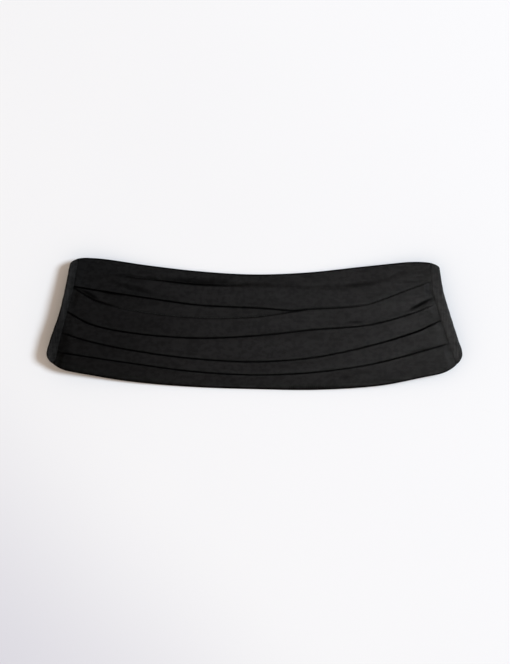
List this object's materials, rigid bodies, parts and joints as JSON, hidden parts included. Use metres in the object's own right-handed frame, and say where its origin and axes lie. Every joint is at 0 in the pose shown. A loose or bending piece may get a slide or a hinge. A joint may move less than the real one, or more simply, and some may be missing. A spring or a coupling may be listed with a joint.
{
  "type": "cummerbund",
  "caption": "Pleated cloth waist sash lying face up, its pleats opening upwards, with a plain band at each end and a clasped strap folded flat beneath.",
  "frame": {"origin": "centre of the bounding box in plan, on the surface that the sash lies on", "axes": "+X along the sash from its left end to its right end as seen from its face, +Y from its lower edge to its upper edge, +Z out of its face"},
  "size_m": [0.4326, 0.138, 0.02],
  "materials": {
    "satin": "matte black satin weave",
    "band_cloth": "matte black satin weave, a little lighter",
    "webbing": "black woven webbing",
    "clasp_plastic": "black plastic"
  },
  "bodies": {
    "root": {"pleated_front": "satin", "end_band_left": "band_cloth", "end_band_right": "band_cloth", "strap_left": "webbing", "strap_right": "webbing", "clasp": "clasp_plastic"}
  },
  "joints": []
}
